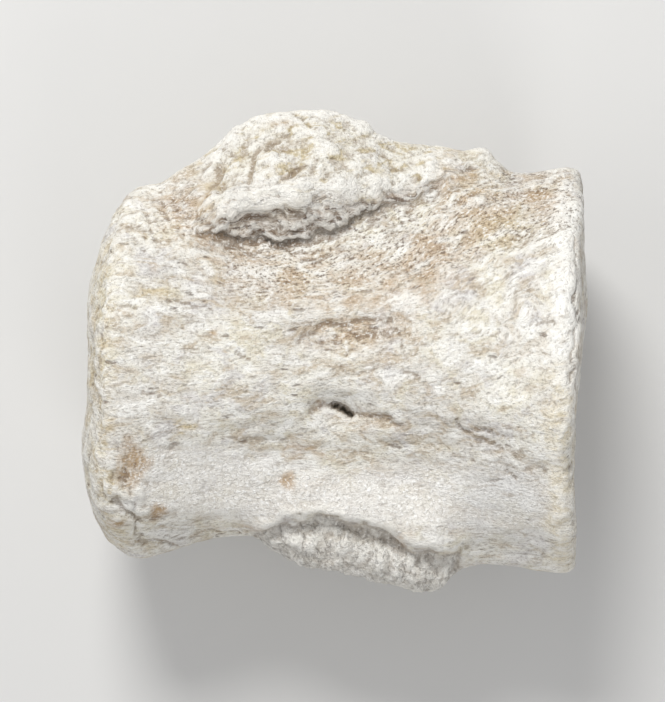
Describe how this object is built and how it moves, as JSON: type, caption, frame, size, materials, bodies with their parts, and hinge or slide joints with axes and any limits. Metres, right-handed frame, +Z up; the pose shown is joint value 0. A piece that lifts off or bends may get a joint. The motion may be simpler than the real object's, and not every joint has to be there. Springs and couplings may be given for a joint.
{
  "type": "fossil tail vertebra",
  "caption": "Fossil tail vertebra of a brontothere: a waisted centrum with broken transverse process and neural arch stumps, a still life-size specimen.",
  "frame": {"origin": "on the floor under the middle of the bone's footprint", "axes": "+X along the tail, from the domed end to the flat end; +Y towards the larger broken process; +Z up, out of the belly side of the bone"},
  "size_m": [0.0666, 0.0638, 0.0436],
  "materials": {
    "fossil_bone": "chalky ivory fossil bone, dull, with a faint sheen on the smooth hollows"
  },
  "bodies": {
    "root": {"vertebra": "fossil_bone"}
  },
  "joints": []
}
